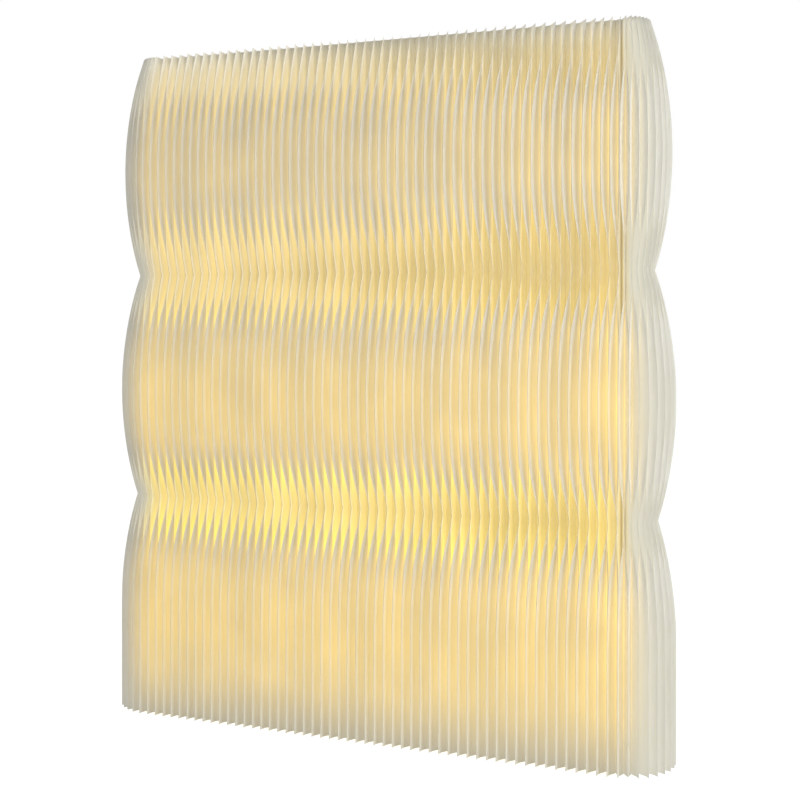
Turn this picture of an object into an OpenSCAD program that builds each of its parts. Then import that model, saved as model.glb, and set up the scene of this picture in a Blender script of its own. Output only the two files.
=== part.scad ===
// Pleated paper screen, lit from inside.
// A belt of honeycomb paper stands round a telescopic frame: one straight row of pleats in
// front, one behind, and a fan of pleats round each end post. Light bars stand in the core
// between the rows. The right end slides towards the left one, and the pleats fold up.
// Millimetres, +Z up, +X along the screen, front towards -Y, origin on the floor.

/* [Screen] */
// Overall height
height = 1696; // [1636:10:1736]
// Gap between the floor and the lower edge of the paper
paper_lift = 4; // [4:0.5:6]
// How far the right end slides in to close the screen
close_travel = 550; // [450:10:560]
// Least gap that is left between a frame piece and a rail end when closed
close_gap = 9; // [8:1:20]

/* [Pleats] */
// Distance from one pleat to the next in a straight row
pitch = 23.2; // [23.2:0.2:26]
// Honeycomb cells in each straight row
row_cells = 52; // [52:2:60]
// Honeycomb cells in the half circle round each end
fan_cells = 16; // [14:1:17]
// Thickness of one paper leaf
leaf_t = 0.4; // [0.3:0.05:0.6]
// Depth from the middle plane at which the paper starts
core_half = 20; // [20:0.5:24]
// Width of the inner glue seam that joins two neighbouring pleats
seam_w = 5; // [4:0.5:8]
// Depth at which the two leaves of a pleat come together
fin_start = 32; // [31:0.5:36]
// Depth at which the two leaves of a pleat part again
fin_end = 83; // [77:1:87]
// Depth at which a leaf meets its neighbour at the rim
rim_start = 111; // [105:1:114]

/* [Lobes] */
// Radius of the arc that every lobe is cut to
lobe_r = 942; // [902:1:1002]
// Depth of the middle and lower lobes from the middle plane
lobe_depth = 120.5; // [115:0.5:124]
// Depth of the top lobe from the middle plane
top_lobe_depth = 112; // [110:0.5:116]
// Height of the lower lobe's widest line, straight below it
low_lobe_z = 280; // [266:1:296]
// Height of the middle lobe's widest line
mid_lobe_z = 830; // [816:1:846]
// Distance of the top lobe's widest line below the top edge
top_lobe_drop = 300; // [286:1:316]

/* [Light bars] */
// Number of light bars
bars = 8; // [4:1:8]
// Cells from one light bar to the next
bar_cells = 7; // [6:1:7]
// Outer diameter of the opal tube
tube_d = 20; // [16:0.5:22]
// Wall of the opal tube
tube_wall = 1; // [0.8:0.1:2]
// Width of the metal strip that carries the diodes
spine_w = 14; // [10:0.5:15]
// Thickness of that strip
spine_t = 3; // [2:0.5:4]
// Width of a board of diodes on each face of the strip
board_w = 10; // [6:0.5:10]
// Thickness of a board of diodes
board_t = 1.2; // [1:0.1:1.6]
// Depth of the socket that holds each end of a tube
tube_socket = 8; // [6:0.5:12]
// Depth of the slot that holds each end of the strip, below the tube socket
spine_socket = 3; // [2:0.5:4]
// Length of a saddle or fork along the rails
saddle_l = 16; // [12:1:18]
// Width of a saddle or fork across the rails
saddle_w = 34; // [32:0.5:36]
// Height of a saddle above the floor
saddle_h = 46; // [44:1:60]
// Height of the body of a fork below the top rail
fork_h = 32; // [26:1:40]
// How far the cheeks of a fork reach up beside the top rail
fork_grip = 12; // [8:0.5:13]
// Thickness of each cheek of a fork
fork_cheek = 6; // [4:0.5:8]
// Height of the jaws that pinch the paper's inner seams
jaw_h = 16; // [10:1:18]
// Width of a jaw along the rails
jaw_w = 6; // [5:0.5:8]
// Distance of a jaw's tip from the fold where the leaves part
jaw_gap = 0.5; // [0.3:0.1:1]
// Diameter of the hole through a fork that takes the bar's lead
lead_d = 4; // [3:0.5:5]

/* [Rails] */
// Outer width of the fixed base rail, a square tube
base_outer = 22; // [21:0.5:22]
// Wall of the base rails
base_wall = 1.5; // [1.2:0.1:2]
// Outer width of the sliding base rail
base_inner = 15; // [13:0.5:15]
// Height of the base rail above the floor
base_rail_z = 6; // [6:0.5:8]
// Outer width of the fixed top rail
top_outer = 14; // [14:0.5:15]
// Wall of the top rails
top_wall = 1.2; // [1:0.1:1.4]
// Outer width of the sliding top rail
top_inner = 9; // [8:0.5:9]
// How far the upper face of the top rail lies below the paper's top edge
top_drop = 30; // [28:1:60]
// Clearance of the sliding bars beside the rails
guide_gap = 0.6; // [0.4:0.1:1]
// Clearance of a rail in its bush and of a plug in its rail
slide_gap = 0.1; // [0.05:0.05:0.2]
// Length of the bush in the mouth of each fixed rail
bush_l = 25; // [15:1:40]
// Thickness of the bush's lip outside the mouth
bush_lip = 2; // [1:0.5:3]
// Length of the plug's head behind each sliding rail
plug_head = 8; // [4:1:8]
// Length of the plug's shank inside each sliding rail
plug_shank = 12; // [8:1:20]

/* [Ends] */
// Gap between an end post and the paper's inner seams
post_gap = 0.5; // [0.3:0.1:1]
// Wall of an end post
post_wall = 2; // [1.5:0.1:2.5]
// How far an end post's flat side lies inside the centre of the fan
post_flat = 4; // [3:0.5:5]
// Height of the block under an end post
post_z = 48; // [46:1:60]
// Radius of the half-round foot plate
foot_r = 72; // [60:1:90]
// Thickness of the foot plate
foot_t = 3.5; // [3:0.5:3.5]
// Bevel round the foot plate's upper edge
foot_bevel = 1; // [0.5:0.5:2]
// Length of the spigots that enter an end post
spigot_l = 30; // [20:1:40]
// Clearance of spigots, tubes and rails in their sockets
seat_gap = 0.1; // [0.05:0.05:0.2]
// How far a rail pocket reaches past the centre of the fan
pocket_l = 10; // [6:1:11]
// Thickness of the bracket above the top rail
bracket_roof = 8; // [6:0.5:12]
// Thickness of the bracket below the top rail
bracket_floor = 6; // [4:0.5:10]
// Diameter of the set screws
screw_d = 5; // [4:0.5:5]
// How far a set screw's head lies below the surface
screw_sink = 0.5; // [0.3:0.1:1]
// Diameter of the wire channel up through the left foot
wire_d = 12; // [8:0.5:12]
// Distance of the wire channel from the centre of the fan
wire_x = 6; // [6:0.5:7]
// Floor of the wire channel above the base rail
wire_floor = 4; // [3:0.5:5]
// Distance of the leads' hole in the left post below the bracket's spigot
lead_down = 20; // [10:1:60]
// Height of the cord gland above the floor
gland_z = 38; // [37:0.5:40]
// Diameter of the gland's hole in the left foot
gland_d = 8; // [6:0.5:8]
// Thickness and overhang of the gland's lip
gland_lip = 2; // [1:0.5:3]
// Diameter of the cord that the gland takes
cord_d = 4; // [3:0.1:5]

/* [Driver] */
// Thickness of the lamp driver
driver_t = 12; // [10:0.5:12]
// Width of the lamp driver
driver_w = 22; // [18:0.5:22]
// Length of the lamp driver
driver_l = 230; // [150:5:300]
// Gap between the driver and the post's flat wall
driver_gap = 0.2; // [0.1:0.1:0.5]

/* [Lock] */
// Distance of the lock screw from the mouth of the top rail
lock_back = 40; // [35:1:60]
// Diameter of the lock screw's thread
lock_d = 5; // [4:0.5:5]
// Running clearance of the thread in its nut
lock_gap = 0.05; // [0.05:0.01:0.08]
// Wall of the nut in the rail's roof
nut_wall = 1.2; // [1:0.1:1.5]
// Thickness of the nut's lip
nut_lip = 1; // [0.8:0.1:1.2]
// Gap between the nut's lip and the knob
knob_gap = 1.5; // [1:0.1:3]
// Diameter of the lock screw's knob
knob_d = 18; // [14:1:20]
// Height of the lock screw's knob
knob_h = 10; // [8:1:12]
// Bevel round the knob's upper edge
knob_bevel = 1.5; // [0.5:0.5:2]
// Grooves round the knob
knob_grooves = 10; // [6:1:14]
// Diameter of each groove
groove_d = 4; // [3:0.5:4]
// Height of the plain band below the grooves
groove_up = 2; // [1:0.5:4]

/* [Hidden] */
$fn = 48;
lobe_fn = 360;
// How far a cutting shape reaches past what it cuts
over = 1;
half_pitch = pitch / 2;
fan_turn = 90 / fan_cells;
end_x = pitch * row_cells / 2;
seam_end = core_half + seam_w;
rim_end = lobe_depth + over;
paper_h = height - paper_lift;
top_lobe_z = height - top_lobe_drop;
bar_xs = [for (k = [0 : bars - 1]) cell_x(bar_cell(k))];
post_r = core_half - post_gap;
post_bore_r = post_r - post_wall;
spigot_r = post_bore_r - seat_gap;
top_rail_z = height - top_drop - top_outer;
post_top = top_rail_z - bracket_floor;
mouth_x = end_x - post_flat - close_travel - close_gap;
inner_start = -mouth_x;
base_space = base_outer - 2 * base_wall;
base_bore = base_inner - 2 * base_wall;
top_space = top_outer - 2 * top_wall;
top_bore = top_inner - 2 * top_wall;
base_mid_z = base_rail_z + base_outer / 2;
top_mid_z = top_rail_z + top_outer / 2;
fork_z = top_rail_z - guide_gap - fork_h;
tube_z = saddle_h - tube_socket;
tube_top = fork_z + tube_socket;
lock_x = mouth_x - lock_back;
knob_z = top_rail_z + top_outer + nut_lip + knob_gap;
jaw_slit = 2 * leaf_t;
paper_color = [0.96, 0.94, 0.88];
opal_color = [1.0, 0.93, 0.7];
metal_color = [0.75, 0.76, 0.78];
white_metal = [0.9, 0.9, 0.88];
plastic_color = [0.82, 0.82, 0.8];
dark_color = [0.2, 0.2, 0.22];

function numbered(name) = [for (k = [1 : bars]) str(name, "_", k)];

// ---- where things stand along the screen ----

// Cells are counted from the left, 0 to row_cells - 1, and bars from 0 to bars - 1.
function cell_x(c) = (c - (row_cells - 1) / 2) * pitch;
function bar_cell(k) = floor((row_cells - 1 - (bars - 1) * bar_cells) / 2) + k * bar_cells;
// The cells glued to one bar reach half way to the next bar, and to the fan at an end.
function first_cell(k) = k == 0 ? 0 : bar_cell(k) - floor(bar_cells / 2);
function last_cell(k) = k == bars - 1 ? row_cells - 1 : first_cell(k + 1) - 1;

// ---- paper ----

// Plan of the belt, cell by cell. A cell is the space between two fins, looking outwards
// along +Y from the middle plane. Its side planes stand half a cell away (half_w) in a row,
// or are turned (turn) in a fan. Leaves are glued in the cell's middle at the inner seam and
// at the rim, and to the next cell's leaf on the side plane, where the two make one fin.
// A point of the right-hand side plane, off inwards from it:
function side_point(y, off, half_w, turn) =
    [half_w + y * sin(turn) - off * cos(turn), y * cos(turn) + off * sin(turn)];
function mirrored(p) = [-p[0], p[1]];
// A frame [x, a] shifts a point of a cell by x and turns it clockwise by a.
function placed(p, frame) = [
    frame[0] + p[0] * cos(frame[1]) + p[1] * sin(frame[1]),
    p[1] * cos(frame[1]) - p[0] * sin(frame[1])
];

// Outline round a run of cells: along the rims, and back along the inner seams.
function belt_outline(frames, half_w, turn) = let (
    last = len(frames) - 1,
    fin_in = side_point(fin_start, 0, half_w, turn),
    fin_out = side_point(fin_end, 0, half_w, turn),
    rim = [[-leaf_t, rim_start], [-leaf_t, rim_end], [leaf_t, rim_end], [leaf_t, rim_start]],
    seam = [[leaf_t, seam_end], [leaf_t, core_half], [-leaf_t, core_half], [-leaf_t, seam_end]]
) concat(
    [placed(mirrored(fin_out), frames[0])],
    [for (f = frames, p = concat(rim, [fin_out])) placed(p, f)],
    [placed(fin_in, frames[last])],
    [for (i = [last : -1 : 0], p = concat(seam, [mirrored(fin_in)])) placed(p, frames[i])]
);

// The hollow of one cell, a hexagon between its inner seam and its rim.
function cell_hollow(frame, half_w, turn) = let (
    right = [side_point(fin_start, leaf_t, half_w, turn), side_point(fin_end, leaf_t, half_w, turn)],
    left = [mirrored(right[1]), mirrored(right[0])]
) [for (p = concat([[0, seam_end]], right, [[0, rim_start]], left)) placed(p, frame)];

module belt(frames, half_w, turn) {
    linear_extrude(height)
        difference() {
            polygon(belt_outline(frames, half_w, turn));
            for (f = frames) polygon(cell_hollow(f, half_w, turn));
        }
}

// Outline of the paper from the side: depth from the middle plane across, height up.
module lobe_profile() {
    intersection() {
        translate([0, paper_lift]) square([lobe_depth, paper_h]);
        union() {
            square([lobe_depth, low_lobe_z]);
            lobe(lobe_depth, low_lobe_z);
            lobe(lobe_depth, mid_lobe_z);
            lobe(top_lobe_depth, top_lobe_z);
        }
    }
}

module lobe(depth, z) {
    translate([depth - lobe_r, z]) circle(lobe_r, $fn = lobe_fn);
}

// Rear pleats from cell a to cell b, cut to the lobes.
module pleat_row(a, b) {
    intersection() {
        belt([for (c = [a : b]) [cell_x(c), 0]], half_pitch, 0);
        translate([cell_x(a) - pitch, 0, 0])
            rotate([90, 0, 90]) linear_extrude((b - a + 2) * pitch) lobe_profile();
    }
}

// The front and the rear pleats that one light bar carries.
module pleats(k) {
    color(paper_color) {
        pleat_row(first_cell(k), last_cell(k));
        mirror([0, 1, 0]) pleat_row(first_cell(k), last_cell(k));
    }
}

// Pleats of a half circle, cut to the same lobes turned round the end post.
module fan() {
    color(paper_color)
        intersection() {
            belt([for (j = [0 : fan_cells - 1]) [0, fan_turn * (2 * j + 1)]], 0, fan_turn);
            rotate_extrude($fn = 180) lobe_profile();
        }
}

// ---- shapes that several pieces share ----

module rounded_square(w, r) {
    square([w, w - 2 * r], center = true);
    square([w - 2 * r, w], center = true);
    for (x = [-1, 1], y = [-1, 1]) translate([x * (w / 2 - r), y * (w / 2 - r)]) circle(r);
}

// A square bar or the bore of one, from x0 to x1, centred on height z.
module square_bar(w, r, x0, x1, z) {
    translate([x0, 0, z]) rotate([90, 0, 90]) linear_extrude(x1 - x0) rounded_square(w, r);
}

module square_tube(w, wall, x0, x1, z) {
    difference() {
        square_bar(w, wall, x0, x1, z);
        square_bar(w - 2 * wall, wall / 3, x0 - over, x1 + over, z);
    }
}

// Plan of an end post: a round cut flat on the side of the core.
module post_section(r, flat) {
    intersection() {
        circle(r);
        translate([-flat, -r]) square([flat + r, 2 * r]);
    }
}

// Places a right-hand end piece, made round the fan's own centre, at either end.
module at_right() {
    translate([end_x, 0, 0]) children();
}

module at_left() {
    mirror([1, 0, 0]) translate([end_x, 0, 0]) children();
}

// ---- end posts, feet and brackets ----

// The left post lets the light bars' leads out through a hole in its flat side.
module post(leads) {
    color(metal_color)
        difference() {
            translate([0, 0, post_z])
                linear_extrude(post_top - post_z)
                difference() {
                    post_section(post_r, post_flat);
                    post_section(post_bore_r, post_flat - post_wall);
                }
            if (leads) side_hole(wire_d / 2, post_wall + over, post_top - spigot_l - lead_down);
        }
}

// Level hole in from the flat side of a post or foot.
module side_hole(d, depth, z) {
    translate([-post_flat - over, 0, z]) rotate([0, 90, 0]) cylinder(d = d, h = depth + over);
}

module spigot(z) {
    translate([0, 0, z])
        linear_extrude(spigot_l) post_section(spigot_r, post_flat - post_wall - seat_gap);
}

module foot_plate() {
    side = [[foot_r, 0], [foot_r, foot_t - foot_bevel], [foot_r - foot_bevel, foot_t]];
    intersection() {
        rotate_extrude($fn = 96) polygon(concat([[0, 0]], side, [[0, foot_t]]));
        translate([-post_flat, -foot_r, 0]) cube([post_flat + foot_r, 2 * foot_r, foot_t]);
    }
}

// Cast foot: half-round plate, block with the rail's pocket, and the post's spigot. The left
// one also takes the cord, in from its flat side and up into the post.
module foot(rail, cord) {
    color(white_metal)
        difference() {
            union() {
                foot_plate();
                linear_extrude(post_z) post_section(post_r, post_flat);
                spigot(post_z);
            }
            rail_pocket(rail, base_mid_z);
            translate([pocket_l / 2, 0, -over]) cylinder(d = screw_d, h = base_mid_z);
            if (cord) {
                translate([wire_x, 0, base_rail_z + base_outer + wire_floor])
                    cylinder(d = wire_d, h = post_z + spigot_l);
                side_hole(gland_d, post_flat + wire_x, gland_z);
            }
        }
}

module rail_pocket(rail, z) {
    square_bar(rail + 2 * seat_gap, base_wall, -post_flat - over, pocket_l, z);
}

// Cap over an end post, with a pocket for the top rail and a spigot down into the post.
module top_bracket(rail) {
    color(white_metal)
        difference() {
            union() {
                translate([0, 0, post_top])
                    linear_extrude(bracket_floor + top_outer + bracket_roof)
                    post_section(post_r, post_flat);
                spigot(post_top - spigot_l);
            }
            rail_pocket(rail, top_mid_z);
            translate([pocket_l / 2, 0, top_mid_z])
                cylinder(d = screw_d, h = top_outer + bracket_roof);
        }
}

// Set screw with a hexagon socket, its tip on a rail and its head towards +Z.
module set_screw(length) {
    difference() {
        cylinder(d = screw_d, h = length);
        translate([0, 0, length / 2]) cylinder(d = screw_d / 2, h = length, $fn = 6);
    }
}

module set_screws(base, top) {
    color(dark_color) {
        translate([pocket_l / 2, 0, base_mid_z - base / 2])
            mirror([0, 0, 1]) set_screw(base_mid_z - base / 2 - screw_sink);
        translate([pocket_l / 2, 0, top_mid_z + top / 2])
            set_screw(top_outer / 2 + bracket_roof - top / 2 - screw_sink);
    }
}

// ---- telescopic rails ----

module base_rail_fixed() {
    color(metal_color) square_tube(base_outer, base_wall, -end_x - pocket_l, mouth_x, base_mid_z);
}

module base_rail_sliding() {
    color(metal_color) square_tube(base_inner, base_wall, inner_start, end_x + pocket_l, base_mid_z);
}

module top_rail_fixed() {
    color(metal_color)
        difference() {
            square_tube(top_outer, top_wall, -end_x - pocket_l, mouth_x, top_mid_z);
            translate([lock_x, 0, top_mid_z]) cylinder(d = lock_d + 2 * nut_wall, h = top_outer);
        }
}

module top_rail_sliding() {
    color(metal_color) square_tube(top_inner, top_wall, inner_start, end_x + pocket_l, top_mid_z);
}

// Bush in a fixed rail's mouth: a sleeve inside and a lip outside.
module bush(rail, wall, inner, z) {
    difference() {
        union() {
            square_bar(rail - 2 * wall, wall / 3, mouth_x - bush_l, mouth_x, z);
            square_bar(rail, wall, mouth_x, mouth_x + bush_lip, z);
        }
        square_bar(inner + 2 * slide_gap, wall, mouth_x - bush_l - over, mouth_x + bush_lip + over, z);
    }
}

module rail_mouth_bushes() {
    color(plastic_color) {
        bush(base_outer, base_wall, base_inner, base_mid_z);
        bush(top_outer, top_wall, top_inner, top_mid_z);
    }
}

// Plug behind a sliding rail: the head slides in the fixed rail, the shank fills the other.
module plug(space, bore, r, z) {
    square_bar(space - 2 * slide_gap, r, inner_start - plug_head, inner_start, z);
    square_bar(bore, r / 3, inner_start, inner_start + plug_shank, z);
}

module sliding_rail_plugs() {
    color(plastic_color) {
        plug(base_space, base_bore, base_wall, base_mid_z);
        plug(top_space, top_bore, top_wall, top_mid_z);
    }
}

// ---- lock on the top rail ----

// Blind-rivet nut in the roof of the fixed top rail.
module lock_nut() {
    color(metal_color)
        translate([lock_x, 0, top_rail_z + top_outer])
        difference() {
            union() {
                cylinder(d = lock_d + 4 * nut_wall, h = nut_lip);
                translate([0, 0, -top_wall]) cylinder(d = lock_d + 2 * nut_wall, h = top_wall);
            }
            translate([0, 0, -top_wall - over])
                cylinder(d = lock_d + 2 * lock_gap, h = nut_lip + top_wall + 2 * over);
        }
}

module lock_screw() {
    shank_z = top_mid_z + top_inner / 2 + 2 * slide_gap;
    color(dark_color)
        translate([lock_x, 0, 0]) {
            translate([0, 0, shank_z]) cylinder(d = lock_d, h = knob_z - shank_z);
            translate([0, 0, knob_z])
                difference() {
                    rotate_extrude() polygon(knob_points());
                    for (a = [1 : knob_grooves]) rotate(a * 360 / knob_grooves)
                        translate([knob_d / 2 + groove_d / 4, 0, groove_up])
                        cylinder(d = groove_d, h = knob_h, $fn = 24);
                }
        }
}

function knob_points() = [
    [0, 0],
    [knob_d / 2, 0],
    [knob_d / 2, knob_h - knob_bevel],
    [knob_d / 2 - knob_bevel, knob_h],
    [0, knob_h]
];

// ---- light bars ----

module opal_tube() {
    color(opal_color)
        translate([0, 0, tube_z])
        linear_extrude(tube_top - tube_z)
        difference() {
            circle(d = tube_d);
            circle(d = tube_d - 2 * tube_wall);
        }
}

// Metal strip with a board of diodes on its front and on its rear face.
module led_strip() {
    strip_z = tube_z - spine_socket;
    strip_h = tube_top - tube_z + 2 * spine_socket;
    color(metal_color)
        translate([-spine_w / 2, -spine_t / 2, strip_z]) cube([spine_w, spine_t, strip_h]);
    color(opal_color)
        translate([-board_w / 2, -spine_t / 2 - board_t, tube_z + tube_socket])
        cube([board_w, spine_t + 2 * board_t, tube_top - tube_z - 2 * tube_socket]);
}

// Jaws in front and behind that pinch the inner seams of the two pleats at the bar.
module jaws(z) {
    for (turn = [0, 180])
        rotate(turn)
        difference() {
            translate([-jaw_w / 2, 0, z]) cube([jaw_w, seam_end - jaw_gap, jaw_h]);
            translate([-jaw_slit / 2, core_half - jaw_gap, z - over])
                cube([jaw_slit, seam_w + over, jaw_h + 2 * over]);
        }
}

// Recess for a tube with the strip's slot beyond it, opening at z = 0 upwards.
module tube_recess() {
    translate([0, 0, -tube_socket]) cylinder(d = tube_d + 2 * seat_gap, h = tube_socket + over);
    translate([-spine_w / 2 - seat_gap, -spine_t / 2 - seat_gap, -tube_socket - spine_socket])
        cube([spine_w + 2 * seat_gap, spine_t + 2 * seat_gap, spine_socket + over]);
}

// Saddle foot: stands on the floor astride the base rail and holds the tube's lower end.
module saddle() {
    tunnel = base_outer + 2 * guide_gap;
    color(plastic_color)
        difference() {
            union() {
                translate([-saddle_l / 2, -saddle_w / 2, 0]) cube([saddle_l, saddle_w, saddle_h]);
                jaws(saddle_h - jaw_h);
            }
            translate([-saddle_l, -tunnel / 2, -over])
                cube([2 * saddle_l, tunnel, over + base_rail_z + base_outer + guide_gap]);
            translate([0, 0, saddle_h]) tube_recess();
        }
}

// Fork: holds the tube's upper end and runs under and beside the top rail. A hole along the
// screen lets the lead through to the strip.
module fork() {
    slot = top_outer + 2 * guide_gap;
    color(plastic_color)
        difference() {
            union() {
                translate([-saddle_l / 2, -saddle_w / 2, fork_z]) cube([saddle_l, saddle_w, fork_h]);
                translate([-saddle_l / 2, -slot / 2 - fork_cheek, fork_z])
                    cube([saddle_l, slot + 2 * fork_cheek, fork_h + fork_grip]);
                jaws(fork_z);
            }
            translate([-saddle_l, -slot / 2, fork_z + fork_h])
                cube([2 * saddle_l, slot, 2 * fork_grip]);
            translate([0, 0, fork_z]) mirror([0, 0, 1]) tube_recess();
            translate([-saddle_l, 0, fork_z + tube_socket + spine_socket])
                rotate([0, 90, 0]) cylinder(d = lead_d, h = 2 * saddle_l);
        }
}

// ---- supply ----

// Stands in the left post, on the foot's spigot and over the wire channel.
module lamp_driver() {
    color(plastic_color)
        translate([driver_gap + post_wall - post_flat, -driver_w / 2, post_z + spigot_l])
        cube([driver_t, driver_w, driver_l]);
}

// Rubber gland in the flat side of the left foot, where the cord enters.
module cord_gland() {
    color(dark_color)
        translate([-post_flat, 0, gland_z])
        rotate([0, -90, 0])
        difference() {
            union() {
                cylinder(d = gland_d + 2 * gland_lip, h = gland_lip);
                translate([0, 0, -gland_lip]) cylinder(d = gland_d, h = gland_lip);
            }
            translate([0, 0, -gland_lip - over]) cylinder(d = cord_d, h = 2 * (gland_lip + over));
        }
}

at_left() fan();  // left_fan
at_right() fan();  // right_fan
at_left() post(true);  // left_post
at_right() post(false);  // right_post
at_left() foot(base_outer, true);  // left_foot
at_right() foot(base_inner, false);  // right_foot
at_left() top_bracket(top_outer);  // left_top_bracket
at_right() top_bracket(top_inner);  // right_top_bracket
base_rail_fixed();
base_rail_sliding();
top_rail_fixed();
top_rail_sliding();
rail_mouth_bushes();
sliding_rail_plugs();
lock_nut();
lock_screw();
at_left() lamp_driver();
at_left() cord_gland();
at_left() set_screws(base_outer, top_outer);  // left_set_screws
at_right() set_screws(base_inner, top_inner);  // right_set_screws

for (k = [0 : bars - 1]) {
    pleats(k);
    translate([bar_xs[k], 0, 0]) {
        opal_tube();
        led_strip();
        saddle();
        fork();
    }
}
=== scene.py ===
import math

import bmesh
import bpy
from mathutils import Matrix, Vector


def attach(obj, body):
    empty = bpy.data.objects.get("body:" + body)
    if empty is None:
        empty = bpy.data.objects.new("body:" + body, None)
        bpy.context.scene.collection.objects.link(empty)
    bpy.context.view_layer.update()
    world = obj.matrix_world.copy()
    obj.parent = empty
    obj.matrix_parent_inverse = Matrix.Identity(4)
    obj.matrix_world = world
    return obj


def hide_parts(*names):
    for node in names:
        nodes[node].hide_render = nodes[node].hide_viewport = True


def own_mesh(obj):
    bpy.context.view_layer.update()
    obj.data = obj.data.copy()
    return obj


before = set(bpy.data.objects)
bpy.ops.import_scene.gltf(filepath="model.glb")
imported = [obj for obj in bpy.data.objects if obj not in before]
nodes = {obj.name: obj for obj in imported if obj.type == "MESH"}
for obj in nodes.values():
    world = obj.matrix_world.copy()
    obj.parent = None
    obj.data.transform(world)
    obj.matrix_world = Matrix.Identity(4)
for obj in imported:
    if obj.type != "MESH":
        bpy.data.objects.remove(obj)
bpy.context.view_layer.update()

# ---- Feet and top brackets ----
# Die-cast aluminium with a white powder coat, whose slight orange peel shows in the light.
# Each has a spigot that the post slides over and a pocket that a set screw holds the rail in.


def linear(hex_color):
    """sRGB hex to a linear colour with alpha."""
    parts = [int(hex_color[i:i + 2], 16) / 255 for i in (1, 3, 5)]
    return [c / 12.92 if c <= 0.04045 else ((c + 0.055) / 1.055) ** 2.4 for c in parts] + [1]


def add(tree, kind, values=None, links=None, **settings):
    """Adds one shader node with its settings, values and links."""
    made = tree.nodes.new("ShaderNode" + kind)
    for key, value in settings.items():
        setattr(made, key, value)
    for key, value in (values or {}).items():
        made.inputs[key].default_value = value
    for key, socket in (links or {}).items():
        tree.links.new(socket, made.inputs[key])
    return made


def new_material(name):
    """A material with one Principled shader. Returns it, its tree and the shader."""
    material = bpy.data.materials.new(name)
    material.use_nodes = True
    tree = material.node_tree
    return material, tree, tree.nodes["Principled BSDF"]


def finish(name, tones, gloss, grain_size, relief, metallic=0.0, drawn=(1, 1, 1)):
    """A surface whose tone and relief follow one fine grain, of a size and height in metres,
    and whose roughness changes softly between the two values of gloss, as hands and time leave
    it. The grain is long where drawn is small."""
    material, tree, shader = new_material(name)
    shader.inputs["Metallic"].default_value = metallic
    place = add(tree, "TexCoord").outputs["Object"]
    along = add(tree, "Mapping", {"Scale": drawn}, {"Vector": place}).outputs[0]
    grain = add(tree, "TexNoise", {"Scale": 1 / grain_size, "Detail": 3}, {"Vector": along})
    grain = grain.outputs["Fac"]
    tone = add(tree, "ValToRGB", links={0: grain})
    for stop, position, tint in zip(tone.color_ramp.elements, (0.35, 0.65), tones):
        stop.position = position
        stop.color = linear(tint)
    tree.links.new(tone.outputs[0], shader.inputs["Base Color"])
    worn = add(tree, "TexNoise", {"Scale": 22, "Detail": 2}, {"Vector": place}).outputs["Fac"]
    rough = add(tree, "MapRange", {1: 0.3, 2: 0.7, 3: gloss[0], 4: gloss[1]}, {0: worn}).outputs[0]
    tree.links.new(rough, shader.inputs["Roughness"])
    bump = add(tree, "Bump", {"Strength": 0.4, "Distance": relief}, {"Height": grain}).outputs[0]
    tree.links.new(bump, shader.inputs["Normal"])
    return material


def dress(material, *names):
    """Gives CAD nodes their material."""
    for name in names:
        for place in nodes[name].material_slots:
            place.material = material


# the peel of the coat, in waves of about 2 mm
powder_coat = finish("powder_coated_aluminium", ("#DEDED8", "#E9E9E4"), (0.36, 0.46), 0.002, 0.00006)
dress(powder_coat, "left_foot", "right_foot", "left_top_bracket", "right_top_bracket")

# ---- Posts ----
# Half-round aluminium tube, extruded, sawn to length and satin anodised. The die leaves faint
# lines up each post, drawn 1.2 mm apart here so that they show.

post_metal = finish("anodised_aluminium_upright", ("#AEB0B4", "#C3C5C8"), (0.30, 0.42), 0.0012,
                    0.00002, metallic=1.0, drawn=(1, 1, 0.01))
dress(post_metal, "left_post", "right_post")

# ---- Rails ----
# Two pairs of square aluminium tubes, extruded and satin anodised. The right-hand ones slide
# in the left-hand ones, so the die's lines and the rubbed streaks run along the screen.

rail_metal = finish("anodised_aluminium_lengthways", ("#AAACB0", "#C3C5C8"), (0.26, 0.40), 0.0012,
                    0.00002, metallic=1.0, drawn=(0.01, 1, 1))
dress(rail_metal, "base_rail_fixed", "base_rail_sliding", "top_rail_fixed", "top_rail_sliding")

# ---- Sliders ----
# Moulded acetal, off-white and slippery: bushes in the mouths of the fixed rails, plugs behind
# the sliding ones, and the saddles and forks that run on the rails. The mould was spark-eroded.

acetal = finish("moulded_acetal", ("#D2D2CC", "#DCDCD7"), (0.40, 0.52), 0.0008, 0.00003)
dress(acetal, "rail_mouth_bushes", "sliding_rail_plugs")
BARS = range(1, 9)
for k in BARS:
    dress(acetal, f"saddle_{k}", f"fork_{k}")

# ---- Screws, nut and lock ----
# Set screws and the lock's nut are turned steel, blackened in a hot bath. The lock screw has a
# grooved head moulded of black glass-filled nylon, matt where fingers turn it.

dark_steel = finish("blackened_steel", ("#2A2B2D", "#3C3D40"), (0.34, 0.48), 0.0006, 0.00001,
                    metallic=1.0)
dress(dark_steel, "left_set_screws", "right_set_screws", "lock_nut")
nylon = finish("glass_filled_nylon", ("#1A1A1C", "#242427"), (0.46, 0.58), 0.0007, 0.00004)
dress(nylon, "lock_screw")

# ---- Lamp driver and gland ----
# The driver in the left post has a housing of moulded white polycarbonate. The cord's gland in
# the left foot is a push-fit ring of black rubber, dull with a pale bloom.

housing = finish("moulded_polycarbonate", ("#E4E4DF", "#EEEEEA"), (0.34, 0.42), 0.001, 0.00002)
dress(housing, "lamp_driver")
rubber = finish("moulded_rubber", ("#161616", "#262626"), (0.78, 0.90), 0.0015, 0.00003)
dress(rubber, "cord_gland")

# ---- Strips of diodes ----
# Mill-finish aluminium bar with a white board on each wide face, and on it a yellow diode
# every 16 mm, lit. Each strip stands in slots of its saddle and fork.

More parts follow.
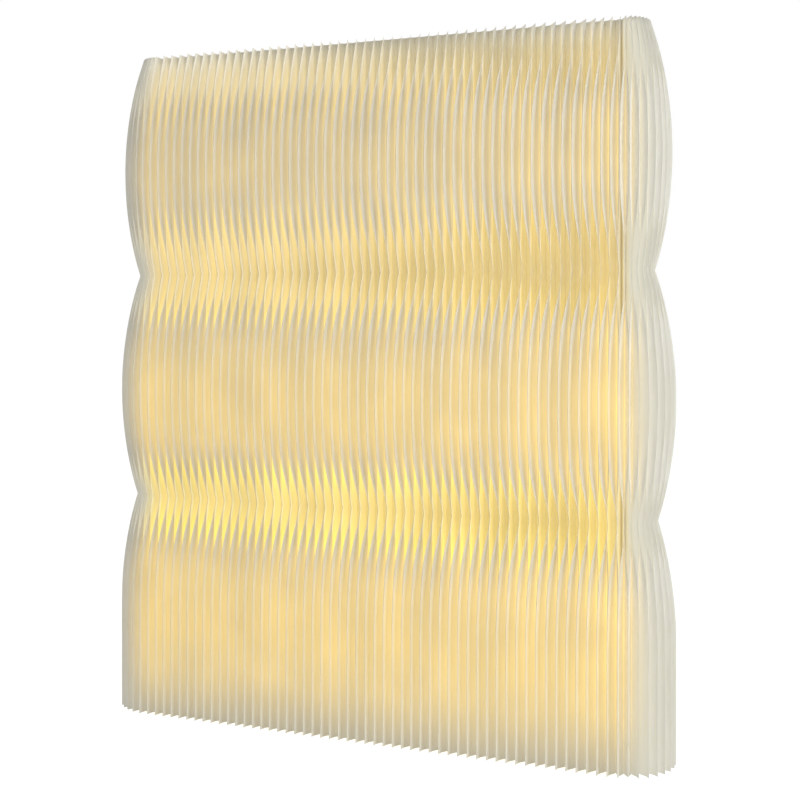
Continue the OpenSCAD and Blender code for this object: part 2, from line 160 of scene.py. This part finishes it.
BAR_GAP = 0.1624
DIODE_GAP, DIODE_HALF = 0.016, 0.0025
METAL_FACE, BOARD_FACE = 0.0016, 0.0026  # how far the metal and the boards reach from the middle
material, tree, shader = new_material("diode_boards_on_aluminium")
place = add(tree, "TexCoord").outputs["Object"]
axes = add(tree, "SeparateXYZ", links={0: place}).outputs
across = add(tree, "Math", {1: BAR_GAP, 2: 0.0}, {0: axes[0]}, operation="WRAP").outputs[0]
across = add(tree, "Math", {1: BAR_GAP / 2, 2: DIODE_HALF}, {0: across}, operation="COMPARE").outputs[0]
up = add(tree, "Math", {1: DIODE_GAP, 2: 0.0}, {0: axes[2]}, operation="WRAP").outputs[0]
up = add(tree, "Math", {1: DIODE_GAP / 2, 2: DIODE_HALF}, {0: up}, operation="COMPARE").outputs[0]
proud = add(tree, "Math", links={0: axes[1]}, operation="ABSOLUTE").outputs[0]
board = add(tree, "Math", {1: METAL_FACE}, {0: proud}, operation="GREATER_THAN").outputs[0]
face = add(tree, "Math", {1: BOARD_FACE}, {0: proud}, operation="GREATER_THAN").outputs[0]
diode = add(tree, "Math", links={0: across, 1: up}, operation="MULTIPLY").outputs[0]
diode = add(tree, "Math", links={0: diode, 1: face}, operation="MULTIPLY").outputs[0]
lines = add(tree, "Mapping", {"Scale": (1, 1, 0.01)}, {"Vector": place}).outputs[0]
lines = add(tree, "TexNoise", {"Scale": 900, "Detail": 2}, {"Vector": lines}).outputs["Fac"]
mill = add(tree, "Mix", {6: linear("#B9B8B2"), 7: linear("#CFCEC9")}, {0: lines},
           data_type="RGBA").outputs[2]
white = add(tree, "Mix", {7: linear("#F2F1EA")}, {0: board, 6: mill}, data_type="RGBA").outputs[2]
yellow = add(tree, "Mix", {7: linear("#F0D060")}, {0: diode, 6: white}, data_type="RGBA").outputs[2]
tree.links.new(yellow, shader.inputs["Base Color"])
bare = add(tree, "Math", {0: 1.0}, {1: board}, operation="SUBTRACT").outputs[0]
tree.links.new(bare, shader.inputs["Metallic"])
shader.inputs["Roughness"].default_value = 0.42
shader.inputs["Emission Color"].default_value = linear("#FFE6A0")
lit = add(tree, "Math", {1: 1.5}, {0: diode}, operation="MULTIPLY").outputs[0]
tree.links.new(lit, shader.inputs["Emission Strength"])
for k in BARS:
    dress(material, f"led_strip_{k}")

# ---- Opal tubes ----
# Extruded opal acrylic round each strip: milky and satin, evenly lit from inside, a little
# brighter in front of the two boards than at the sides.

material, tree, shader = new_material("extruded_opal_acrylic")
place = add(tree, "TexCoord").outputs["Object"]
axes = add(tree, "SeparateXYZ", links={0: place}).outputs
along = add(tree, "Mapping", {"Scale": (1, 1, 0.02)}, {"Vector": place}).outputs[0]
haze = add(tree, "TexNoise", {"Scale": 400, "Detail": 2}, {"Vector": along}).outputs["Fac"]
milk = add(tree, "Mix", {6: linear("#F4EBD2"), 7: linear("#FBF4E0")}, {0: haze},
           data_type="RGBA").outputs[2]
tree.links.new(milk, shader.inputs["Base Color"])
rough = add(tree, "MapRange", {3: 0.28, 4: 0.40}, {0: haze}).outputs[0]
tree.links.new(rough, shader.inputs["Roughness"])
shader.inputs["IOR"].default_value = 1.49
shader.inputs["Emission Color"].default_value = linear("#FFE2A2")
TUBE_RADIUS = 0.010
front = add(tree, "Math", links={0: axes[1]}, operation="ABSOLUTE").outputs[0]
front = add(tree, "MapRange", {2: TUBE_RADIUS, 3: 0.55, 4: 0.85}, {0: front}).outputs[0]
tree.links.new(front, shader.inputs["Emission Strength"])
for k in BARS:
    dress(material, f"opal_tube_{k}")

# ---- Paper belt: the rows of pleats ----
# Honeycomb of spun-bonded paper. Two leaves are glued at an inner seam and again at the rim,
# and each leaf is glued to its neighbour between them, where the two make one fin. The front
# and rear rows are cut to three stacked lobes.

PITCH = 0.0232
CELLS, CELLS_PER_BAR = 52, 7
END_X = CELLS / 2 * PITCH
LEAF = 0.0004
# depths from the middle plane: the leaf's inner edge, where the inner seam ends, where the fin
# begins and ends, and where the rim begins
CORE, SEAM = 0.020, 0.025
FIN_START, FIN_END = 0.032, 0.083
RIM = 0.111
BOTTOM, TOP = 0.004, 1.696
LOBE_R = 0.942
LOBES = ((0.1205, 0.280), (0.1205, 0.830), (0.112, 1.396))  # depth and height of each one's crest


def cut_depth(z):
    """Depth from the middle plane at which the pleats are cut at height z."""
    if z < LOBES[0][1]:
        return LOBES[0][0]
    return max(crest - LOBE_R + math.sqrt(LOBE_R**2 - (z - middle) ** 2) for crest, middle in LOBES
               if abs(z - middle) < LOBE_R)


def crease(low, high):
    """Height at which two lobes meet, found by halving."""
    lowest, highest = low[1], high[1]
    for _ in range(30):
        z = (lowest + highest) / 2
        gap = (low[0] + math.sqrt(LOBE_R**2 - (z - low[1]) ** 2)
               - high[0] - math.sqrt(LOBE_R**2 - (z - high[1]) ** 2))
        lowest, highest = (z, highest) if gap > 0 else (lowest, z)
    return z


# heights of the leaf's cross lines, closer together where the cut crosses from fin to rim
STEP, FINE_STEP, LAST_STEP = 0.032, 0.017, 0.012
CROSSING, AHEAD = (0.077, 0.1102), 0.01
heights = [BOTTOM, 0.09, 0.18, LOBES[0][1]]
while heights[-1] < TOP - LAST_STEP:
    fine = CROSSING[0] < cut_depth(heights[-1] + AHEAD) < CROSSING[1]
    heights.append(heights[-1] + (FINE_STEP if fine else STEP))
heights[-1] = TOP
for z in (crease(LOBES[0], LOBES[1]), crease(LOBES[1], LOBES[2])):
    nearest = min(range(len(heights)), key=lambda i: abs(heights[i] - z))
    heights[nearest] = z


def leaf_x(depth, turn):
    """Distance of a leaf from its cell's middle, at a depth. In a row the fins are parallel,
    and in a fan they stand at an angle turn to the cell's middle."""
    half = 0 if turn else PITCH / 2
    side = half + depth * math.tan(turn)
    if depth <= SEAM or depth >= RIM:
        share = 0.0
    elif depth < FIN_START:
        share = (1 - math.cos(math.pi * (depth - SEAM) / (FIN_START - SEAM))) / 2
    elif depth <= FIN_END:
        share = 1.0
    else:
        share = (1 + math.cos(math.pi * (depth - FIN_END) / (RIM - FIN_END))) / 2
    return LEAF + (side - LEAF) * share


# depths of its upright lines, closer together where it curves
DEPTHS = (
    [CORE, SEAM, 0.0268, 0.0285, 0.0302, FIN_START, FIN_END]
    + [FIN_END + (RIM - FIN_END) * i / 6 for i in range(1, 6)]
    + [RIM, LOBES[0][0]]
)


def everything(bm):
    """All that a mesh holds."""
    return bm.verts[:] + bm.edges[:] + bm.faces[:]


def duplicate(bm, geom):
    """Copies part of a mesh, in place. Returns the copy's vertices and faces."""
    copy = bmesh.ops.duplicate(bm, geom=geom)["geom"]
    return ([g for g in copy if isinstance(g, bmesh.types.BMVert)],
            [g for g in copy if isinstance(g, bmesh.types.BMFace)])


def make_cell(bm, turn):
    """One cell of the honeycomb, opening towards +Y: a leaf drawn up through all heights and
    cut to the lobes, and its mirror image."""
    plan = [bm.verts.new((leaf_x(d, turn), d, 0)) for d in DEPTHS]
    edges = [bm.edges.new(pair) for pair in zip(plan, plan[1:])]
    for v in plan:
        v.co.z = heights[0]
    for z in heights[1:]:
        drawn = bmesh.ops.extrude_edge_only(bm, edges=edges)["geom"]
        edges = [g for g in drawn if isinstance(g, bmesh.types.BMEdge)
                 and all(v in drawn for v in g.verts)]
        for v in drawn:
            if isinstance(v, bmesh.types.BMVert):
                v.co.z = z
    for v in bm.verts:
        depth = min(v.co.y, cut_depth(v.co.z))
        v.co.x, v.co.y = leaf_x(depth, turn), depth
    bmesh.ops.remove_doubles(bm, verts=bm.verts, dist=1e-6)
    bmesh.ops.dissolve_degenerate(bm, dist=1e-7, edges=bm.edges)
    bmesh.ops.recalc_face_normals(bm, faces=bm.faces)
    fin = max(bm.faces, key=lambda f: f.calc_area())
    if fin.normal.x < 0:
        bmesh.ops.reverse_faces(bm, faces=bm.faces)
    inset = bm.verts.layers.float.new("inset")  # distance from the cut edge, for the material
    for v in bm.verts:
        v[inset] = cut_depth(v.co.z) - v.co.y
    verts, faces = duplicate(bm, everything(bm))
    bmesh.ops.scale(bm, verts=verts, vec=(-1, 1, 1))
    bmesh.ops.reverse_faces(bm, faces=faces)


BOW, BOW_RISE = 0.135, 0.11  # per metre in from the rims: at the middle, and more per metre right
LEAN, LEAN_X, LEAN_Z = 0.0091, -0.43, 0.25  # per square metre right of and above these
LOOSE = 0.066  # the depth from which the fins hang freely
EASE_REACH, EASE = 0.081, 0.65  # how far from the fans the bow is eased, and by what share


def settle(bm):
    """Lets the paper bow as it hangs: the further in from the rims, the further it stands to
    the right, more so at the right, and the rows lean a little the same way with height. The
    inner seams, which the bars hold, stay in line, and so do the tips of the fans. Near the
    fans, which don't narrow as the rows do when the screen closes, it bows less."""
    for v in bm.verts:
        x, y, z = v.co
        depth = math.hypot(max(abs(x) - END_X, 0), y)
        bow = (BOW + BOW_RISE * x) * (LOBES[0][0] - depth)
        lean = LEAN * (x - LEAN_X) * max(z - LEAN_Z, 0)
        free = min(max((depth - SEAM) / (LOOSE - SEAM), 0), 1)
        near_fan = min(max((abs(x) - END_X) / EASE_REACH + 1, 0), 1)
        held = (1 - EASE * near_fan) * (y / depth) ** 2
        v.co.x += (bow + max(lean, 0)) * (1 - math.cos(math.pi * free)) / 2 * held


def finish_paper(bm, name, body):
    """Makes the piece and gives its leaves their thickness, towards the cell's hollow. It rides
    on its body."""
    settle(bm)
    mesh = bpy.data.meshes.new(name)
    bm.to_mesh(mesh)
    bm.free()
    piece = bpy.data.objects.new(name, mesh)
    bpy.context.scene.collection.objects.link(piece)
    for material in (paper_outside, paper_inside, paper_cut):
        mesh.materials.append(material)
    thickness = piece.modifiers.new("leaf", "SOLIDIFY")
    thickness.thickness = LEAF
    thickness.offset = -1
    thickness.material_offset = 1
    thickness.material_offset_rim = 2
    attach(piece, body)
    return piece


def paper(name, near, far, glow, rise, fan_reach, core_share, edge_share):
    """Spun-bonded paper: matte, cream-white, with a faint upright fibre pattern. Where the
    lamps shine through, that light is painted into its emission: the painted glow's colour goes
    from near, deep in the hollows, to far, further out, where the glow is rise times as strong.
    fan_reach says where past a row's end the lamps' painted glow ends and begins. core_share and
    edge_share are what of it is left at the core and at the cut edge, as painted shade there."""
    material, tree, shader = new_material(name)
    shader.inputs["Roughness"].default_value = 0.85
    shader.inputs["Specular IOR Level"].default_value = 0.25
    place = add(tree, "TexCoord").outputs["Object"]
    axes = add(tree, "SeparateXYZ", links={0: place}).outputs

    past = add(tree, "Math", links={0: axes[0]}, operation="ABSOLUTE").outputs[0]
    past = add(tree, "Math", {1: END_X}, {0: past}, operation="SUBTRACT").outputs[0]
    round_end = add(tree, "Math", {1: 0.0}, {0: past}, operation="MAXIMUM").outputs[0]
    plan = add(tree, "CombineXYZ", links={0: round_end, 1: axes[1]}).outputs[0]
    depth = add(tree, "VectorMath", links={0: plan}, operation="LENGTH").outputs["Value"]
    inset = add(tree, "Attribute", attribute_name="inset").outputs["Fac"]
    cut = add(tree, "Math", links={0: depth, 1: inset}, operation="ADD").outputs[0]

    # fibres, drawn coarser than the real 0.05 mm ones so that they show
    stretch = add(tree, "Mapping", {"Scale": (1, 1, 0.08)}, {"Vector": place}).outputs[0]
    fibre = add(tree, "TexNoise", {"Scale": 260, "Detail": 3, "Roughness": 0.6}, {"Vector": stretch})
    fibre = fibre.outputs["Fac"]
    cloud = add(tree, "TexNoise", {"Scale": 9, "Detail": 2}, {"Vector": place}).outputs["Fac"]

    tint = add(tree, "ValToRGB", links={0: fibre})
    for stop, position, tone in zip(tint.color_ramp.elements, (0.3, 0.7), ("#ECEAE1", "#F6F5ED")):
        stop.position = position
        stop.color = linear(tone)
    tree.links.new(tint.outputs[0], shader.inputs["Base Color"])

    bump = add(tree, "Bump", {"Strength": 0.15, "Distance": 0.0003}, {"Height": fibre}).outputs[0]
    tree.links.new(bump, shader.inputs["Normal"])

    # by height, as painted light: red is the share of the lamps' painted glow, green that of
    # the painted daylight let in at the open foot and top
    up = add(tree, "MapRange", {2: TOP}, {0: axes[2]}).outputs[0]
    levels = add(tree, "ValToRGB", links={0: up})
    stops = levels.color_ramp.elements
    for z, lamps, day in LEVELS:
        stop = stops[0] if z == 0 else stops[-1] if z == TOP else stops.new(z / TOP)
        stop.color = (lamps, day, 0, 1)
    levels = add(tree, "SeparateColor", links={0: levels.outputs[0]}).outputs

    # colour of the lamps' painted glow: from near to far over FAR, which moves out with height
    soft = {"interpolation_type": "SMOOTHSTEP"}
    outwards = add(tree, "Math", {1: -FAR_RISE}, {0: axes[2], 2: depth}, operation="MULTIPLY_ADD")
    outwards = add(tree, "MapRange", {1: FAR[0], 2: FAR[1]}, {0: outwards.outputs[0]}, **soft).outputs[0]
    color = add(tree, "ValToRGB", links={0: outwards})
    color.color_ramp.elements[0].color = linear(near)
    color.color_ramp.elements[1].color = linear(far)

    # its strength, with painted shade where the glow falls off: at the cut edge, over 26 mm in the
    # creases and 11 mm at the crests, and at the ends, at the core and between the bars
    strength = add(tree, "MapRange", {3: 1.0, 4: rise}, {0: outwards}).outputs[0]
    shallow = add(tree, "MapRange", {1: 0.0, 2: 0.026, 3: edge_share, 4: 1.0}, {0: inset}, **soft)
    full = add(tree, "MapRange", {1: 0.003, 2: 0.011, 3: 0.2, 4: 1.0}, {0: inset}, **soft)
    edge = add(tree, "MapRange", {1: 0.098, 2: 0.112},
               {0: cut, 3: shallow.outputs[0], 4: full.outputs[0]}).outputs[0]
    ends = add(tree, "MapRange", {1: fan_reach[0], 2: fan_reach[1]}, {0: past}, **soft).outputs[0]
    core = add(tree, "MapRange", {1: CORE, 2: 0.042, 3: core_share, 4: 1.0}, {0: depth}).outputs[0]
    wave = add(tree, "Math", {1: 2 * math.pi / (CELLS_PER_BAR * PITCH)}, {0: axes[0]},
               operation="MULTIPLY").outputs[0]
    wave = add(tree, "Math", {1: math.pi}, {0: wave}, operation="ADD").outputs[0]
    wave = add(tree, "Math", links={0: wave}, operation="COSINE").outputs[0]
    bars = add(tree, "MapRange", {1: -1.0, 2: 1.0, 3: 0.88, 4: 1.0}, {0: wave}).outputs[0]
    patchy = add(tree, "MapRange", {1: 0.3, 2: 0.7, 3: 0.85, 4: 1.1}, {0: cloud}).outputs[0]
    for factor in (levels["Red"], edge, ends, core, bars, patchy):
        strength = add(tree, "Math", links={0: strength, 1: factor}, operation="MULTIPLY").outputs[0]
    strength = add(tree, "Math", {1: glow}, {0: strength}, operation="MULTIPLY").outputs[0]
    lamps = add(tree, "VectorMath", links={0: color.outputs[0], 3: strength}, operation="SCALE")

    # painted daylight: emission that stands for daylight coming through as well, most where no
    # lamp stands behind, with painted shade where it hardly reaches the bottom of the hollows
    day = add(tree, "MapRange", {1: 0.005, 2: 0.013, 3: DAY_EDGE, 4: DAY_MIDDLE}, {0: inset})
    day = add(tree, "Math", links={0: day.outputs[0], 1: levels["Green"]}, operation="ADD").outputs[0]
    day = add(tree, "MapRange", {3: DAY_ENDS}, {0: ends, 4: day}).outputs[0]
    deep = add(tree, "MapRange", {1: 0.024, 2: 0.048, 3: core_share**3, 4: 1.0}, {0: depth}).outputs[0]
    day = add(tree, "Math", links={0: day, 1: deep}, operation="MULTIPLY").outputs[0]
    day = add(tree, "VectorMath", links={0: tint.outputs[0], 3: day}, operation="SCALE").outputs[0]
    both = add(tree, "VectorMath", links={0: lamps.outputs[0], 1: day}, operation="ADD").outputs[0]
    # the painted lamp glow and the painted daylight go into the paper's emission
    tree.links.new(both, shader.inputs["Emission Color"])
    shader.inputs["Emission Strength"].default_value = 1.0
    return material


FAR, FAR_RISE = (0.0400, 0.0540), 0.034
# painted daylight through the paper, as emission: round the ends, at the cut edges and further in
DAY_ENDS, DAY_EDGE, DAY_MIDDLE = 0.185, 0.055, 0.034
# height, share of the lamps' painted glow, painted daylight added
LEVELS = ((0.0, 0.06, 0.08), (0.06, 0.40, 0.05), (0.13, 0.84, 0.02), (0.22, 0.98, 0.0),
          (0.42, 0.99, 0.0), (0.54, 0.86, 0.01), (0.70, 1.0, 0.0), (1.03, 0.84, 0.02),
          (1.13, 0.80, 0.03), (1.25, 0.79, 0.03), (1.54, 0.70, 0.03), (1.64, 0.47, 0.11),
          (TOP, 0.13, 0.27))
# the side towards the room, with a painted amber glow where the lamps shine through, paler at the cut
# edge
paper_outside = paper("spun_bonded_paper_room_side", "#FFD562", "#FFD562", glow=0.315, rise=1.0,
                      fan_reach=(0.085, -0.005), core_share=1.0, edge_share=0.5)
# the side in the hollows, with a painted glow: painted shade, dim at the core, and vivid yellow further
# out
paper_inside = paper("spun_bonded_paper_lamp_side", "#FFDA74", "#FFE63A", glow=0.288, rise=1.3,
                     fan_reach=(0.035, -0.02), core_share=0.35, edge_share=0.5)
# the knife-cut edge, a pale line with a faint painted glow
paper_cut = paper("spun_bonded_paper_cut_edge", "#FFF2D8", "#FFF2D8", glow=0.05, rise=1.0,
                  fan_reach=(0.035, -0.02), core_share=1.0, edge_share=0.25)


def cell_x(cell):
    """Where the middle of a row's cell stands, counted from the left."""
    return (cell - (CELLS - 1) / 2) * PITCH


for k in BARS:
    bar_cell = 1 + CELLS_PER_BAR * (k - 1)
    first = max(bar_cell - CELLS_PER_BAR // 2, 0)
    last = min(bar_cell + CELLS_PER_BAR // 2, CELLS - 1)
    bm = bmesh.new()
    make_cell(bm, 0)
    one = everything(bm)
    for c in range(first + 1, last + 1):
        verts, faces = duplicate(bm, one)
        bmesh.ops.translate(bm, vec=((c - first) * PITCH, 0, 0), verts=verts)
    bmesh.ops.translate(bm, vec=(cell_x(first), 0, 0), verts=bm.verts)
    verts, faces = duplicate(bm, everything(bm))
    bmesh.ops.scale(bm, verts=verts, vec=(1, -1, 1))
    bmesh.ops.reverse_faces(bm, faces=faces)
    piece = finish_paper(bm, f"pleats_paper_{k}", f"bar_{k}")
    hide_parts(f"pleats_{k}")
    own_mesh(piece)

# ---- Paper belt: the fans ----
# Sixteen more cells of the same honeycomb turn round each end post, so that the cut edges
# run in a half circle from the front row to the rear one.

FAN_CELLS = 16
turn = math.pi / 2 / FAN_CELLS
for name in ("right", "left"):
    bm = bmesh.new()
    make_cell(bm, turn)
    one = everything(bm)
    for j in range(1, FAN_CELLS):
        verts, faces = duplicate(bm, one)
        bmesh.ops.rotate(bm, cent=(0, 0, 0), matrix=Matrix.Rotation(-2 * turn * j, 3, "Z"), verts=verts)
    bmesh.ops.rotate(bm, cent=(0, 0, 0), matrix=Matrix.Rotation(-turn, 3, "Z"), verts=bm.verts)
    bmesh.ops.translate(bm, vec=(END_X, 0, 0), verts=bm.verts)
    if name == "left":
        bmesh.ops.scale(bm, verts=bm.verts, vec=(-1, 1, 1))
        bmesh.ops.reverse_faces(bm, faces=bm.faces)
    piece = finish_paper(bm, f"{name}_fan_paper", f"{name}_end")
    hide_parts(f"{name}_fan")

# ---- Studio ----
# Plain white floor and soft light, and the camera at the photograph's angle. The floor and the
# world look white, while the light that they give the paper is weaker.

bpy.context.scene.view_settings.view_transform = "Standard"


def looked_at(tree):
    """1 for a ray from the camera, also by a gloss or through clear matter, 0 for any other."""
    rays = add(tree, "LightPath").outputs
    seen = rays["Is Camera Ray"]
    for other in ("Is Glossy Ray", "Is Transmission Ray"):
        seen = add(tree, "Math", links={0: seen, 1: rays[other]}, operation="MAXIMUM").outputs[0]
    return seen


bm = bmesh.new()
bmesh.ops.create_grid(bm, x_segments=2, y_segments=2, size=14)
bmesh.ops.translate(bm, verts=bm.verts, vec=(0, 0, -0.0005))
mesh = bpy.data.meshes.new("floor")
bm.to_mesh(mesh)
bm.free()
floor = bpy.data.objects.new("floor", mesh)
bpy.context.scene.collection.objects.link(floor)
material, tree, shader = new_material("white_floor")
shader.inputs["Base Color"].default_value = linear("#F4F4F2")
shader.inputs["Roughness"].default_value = 0.9
lift = add(tree, "Math", {1: 0.82}, {0: looked_at(tree)}, operation="MULTIPLY").outputs[0]
shader.inputs["Emission Color"].default_value = (1, 1, 1, 1)
tree.links.new(lift, shader.inputs["Emission Strength"])
mesh.materials.append(material)

world = bpy.data.worlds.new("studio")
bpy.context.scene.world = world
world.use_nodes = True
tree = world.node_tree
background = tree.nodes["Background"]
background.inputs["Color"].default_value = (1, 1, 1, 1)
level = add(tree, "MapRange", {3: 0.17, 4: 1.0}, {0: looked_at(tree)}).outputs[0]
tree.links.new(level, background.inputs["Strength"])


def soft_box(name, place, size, power):
    """Square area lamp that shines at the middle of the screen."""
    lamp = bpy.data.lights.new(name, "AREA")
    lamp.shape = "SQUARE"
    lamp.size = size
    lamp.energy = power
    holder = bpy.data.objects.new(name, lamp)
    holder.location = place
    towards = Vector((0, 0, 0.8)) - Vector(place)
    holder.rotation_euler = towards.to_track_quat("-Z", "Y").to_euler()
    bpy.context.scene.collection.objects.link(holder)


soft_box("key_box", (4.14, -1.76, 1.7), 1.8, 63)
soft_box("fill_box", (-2.2, -4.2, 2.2), 2.4, 5)

PHOTO, FOCAL, HORIZON = 800, 1241, 313.9  # width, focal length and eye level, in its pixels
camera = bpy.data.cameras.new("camera")
camera.sensor_width = 36
camera.lens = camera.sensor_width * FOCAL / PHOTO
camera.shift_y = -(PHOTO / 2 - HORIZON) / PHOTO
view = bpy.data.objects.new("camera", camera)
view.location = (1.164, -2.837, 1.027)
view.rotation_euler = (math.pi / 2, 0, math.radians(21.35))
bpy.context.scene.collection.objects.link(view)
bpy.context.scene.camera = view
